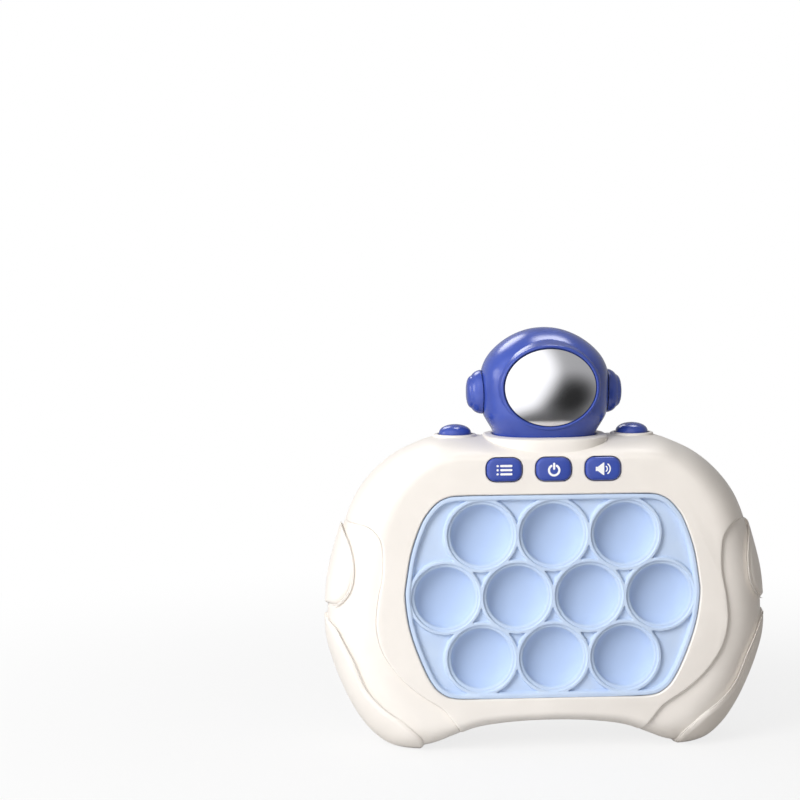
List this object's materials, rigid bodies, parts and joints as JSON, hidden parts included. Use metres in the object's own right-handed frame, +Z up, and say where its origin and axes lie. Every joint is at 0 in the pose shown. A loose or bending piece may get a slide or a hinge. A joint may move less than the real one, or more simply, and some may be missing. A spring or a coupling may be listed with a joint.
{
  "type": "electronic bubble pop game",
  "caption": "Handheld battery game with pressed-in silicone bubbles in a barrel-shaped panel, three small keys, shoulder buttons and a spring-loaded space helmet head with a silver visor.",
  "frame": {"origin": "on the ground under the middle of the case, between the flats of the two horns", "axes": "+Z up, the bubble panel faces -Y, +X to the right of someone who faces the panel"},
  "size_m": [0.1764, 0.05, 0.1651],
  "materials": {
    "case_plastic": "warm cream moulded ABS, satin",
    "silicone": "light blue silicone rubber, soft satin",
    "blue_plastic": "cobalt blue moulded ABS, gloss",
    "visor_plating": "vacuum plated silver, mirror",
    "steel": "bright zinc plated",
    "circuit_board": "green solder mask",
    "inner_plastic": "white moulded plastic",
    "mat_silicone": "translucent white silicone",
    "black_plastic": "black moulded plastic",
    "lamp_plastic": "clear yellow lamp resin",
    "cell_wrap": "dark wrap without print"
  },
  "bodies": {
    "case": {"front_shell": "case_plastic", "back_shell": "case_plastic", "bubble_sheet": "silicone", "sheet_frame": "inner_plastic", "main_board": "circuit_board", "board_screw_1": "steel", "board_screw_2": "steel", "key_mat": "mat_silicone", "led_1": "lamp_plastic", "led_2": "lamp_plastic", "led_3": "lamp_plastic", "led_4": "lamp_plastic", "led_5": "lamp_plastic", "led_6": "lamp_plastic", "led_7": "lamp_plastic", "led_8": "lamp_plastic", "led_9": "lamp_plastic", "led_10": "lamp_plastic", "top_board": "circuit_board", "head_switch": "black_plastic", "left_shoulder_switch": "black_plastic", "right_shoulder_switch": "black_plastic", "head_spring": "steel", "left_shoulder_spring": "steel", "right_shoulder_spring": "steel", "speaker": "black_plastic", "battery_cell_1": "cell_wrap", "battery_cell_2": "cell_wrap", "battery_cell_3": "cell_wrap", "contact_spring_1": "steel", "contact_spring_2": "steel", "contact_spring_3": "steel", "contact_plate": "steel", "case_screw_1": "steel", "case_screw_2": "steel", "case_screw_3": "steel", "case_screw_4": "steel"},
    "bubble_1": {"bubble_1": "silicone"},
    "bubble_2": {"bubble_2": "silicone"},
    "bubble_3": {"bubble_3": "silicone"},
    "bubble_4": {"bubble_4": "silicone"},
    "bubble_5": {"bubble_5": "silicone"},
    "bubble_6": {"bubble_6": "silicone"},
    "bubble_7": {"bubble_7": "silicone"},
    "bubble_8": {"bubble_8": "silicone"},
    "bubble_9": {"bubble_9": "silicone"},
    "bubble_10": {"bubble_10": "silicone"},
    "menu_key": {"menu_key": "blue_plastic"},
    "power_key": {"power_key": "blue_plastic"},
    "sound_key": {"sound_key": "blue_plastic"},
    "left_shoulder_button": {"left_shoulder_button": "blue_plastic"},
    "right_shoulder_button": {"right_shoulder_button": "blue_plastic"},
    "head": {"helmet_front": "blue_plastic", "helmet_back": "blue_plastic", "visor": "visor_plating", "left_ear_cap": "blue_plastic", "right_ear_cap": "blue_plastic", "head_plunger": "inner_plastic"},
    "battery_cover": {"battery_door": "case_plastic", "door_screw": "steel"}
  },
  "joints": [
    {"name": "bubble_1_pop", "type": "slide", "parent": "case", "child": "bubble_1", "axis": [0, -1, 0], "range_m": [0, 0.013]},
    {"name": "bubble_2_pop", "type": "slide", "parent": "case", "child": "bubble_2", "axis": [0, -1, 0], "range_m": [0, 0.013]},
    {"name": "bubble_3_pop", "type": "slide", "parent": "case", "child": "bubble_3", "axis": [0, -1, 0], "range_m": [0, 0.013]},
    {"name": "bubble_4_pop", "type": "slide", "parent": "case", "child": "bubble_4", "axis": [0, -1, 0], "range_m": [0, 0.013]},
    {"name": "bubble_5_pop", "type": "slide", "parent": "case", "child": "bubble_5", "axis": [0, -1, 0], "range_m": [0, 0.013]},
    {"name": "bubble_6_pop", "type": "slide", "parent": "case", "child": "bubble_6", "axis": [0, -1, 0], "range_m": [0, 0.013]},
    {"name": "bubble_7_pop", "type": "slide", "parent": "case", "child": "bubble_7", "axis": [0, -1, 0], "range_m": [0, 0.013]},
    {"name": "bubble_8_pop", "type": "slide", "parent": "case", "child": "bubble_8", "axis": [0, -1, 0], "range_m": [0, 0.013]},
    {"name": "bubble_9_pop", "type": "slide", "parent": "case", "child": "bubble_9", "axis": [0, -1, 0], "range_m": [0, 0.013]},
    {"name": "bubble_10_pop", "type": "slide", "parent": "case", "child": "bubble_10", "axis": [0, -1, 0], "range_m": [0, 0.013]},
    {"name": "menu_key_press", "type": "slide", "parent": "case", "child": "menu_key", "axis": [0, 1, 0], "range_m": [0, 0.0012], "stiffness_N_per_m": 300, "springref_m": -0.002},
    {"name": "power_key_press", "type": "slide", "parent": "case", "child": "power_key", "axis": [0, 1, 0], "range_m": [0, 0.0012], "stiffness_N_per_m": 300, "springref_m": -0.002},
    {"name": "sound_key_press", "type": "slide", "parent": "case", "child": "sound_key", "axis": [0, 1, 0], "range_m": [0, 0.0012], "stiffness_N_per_m": 300, "springref_m": -0.002},
    {"name": "left_shoulder_press", "type": "slide", "parent": "case", "child": "left_shoulder_button", "axis": [0, 0, -1], "range_m": [0, 0.002], "stiffness_N_per_m": 400, "springref_m": -0.002, "deforming": ["left_shoulder_spring"]},
    {"name": "right_shoulder_press", "type": "slide", "parent": "case", "child": "right_shoulder_button", "axis": [0, 0, -1], "range_m": [0, 0.002], "stiffness_N_per_m": 400, "springref_m": -0.002, "deforming": ["right_shoulder_spring"]},
    {"name": "head_press", "type": "slide", "parent": "case", "child": "head", "axis": [0, 0, -1], "range_m": [0, 0.002], "stiffness_N_per_m": 900, "springref_m": -0.002, "deforming": ["head_spring"]},
    {"name": "battery_cover_lift", "type": "slide", "parent": "case", "child": "battery_cover", "axis": [0, 1, 0], "range_m": [0, 0.012]}
  ]
}
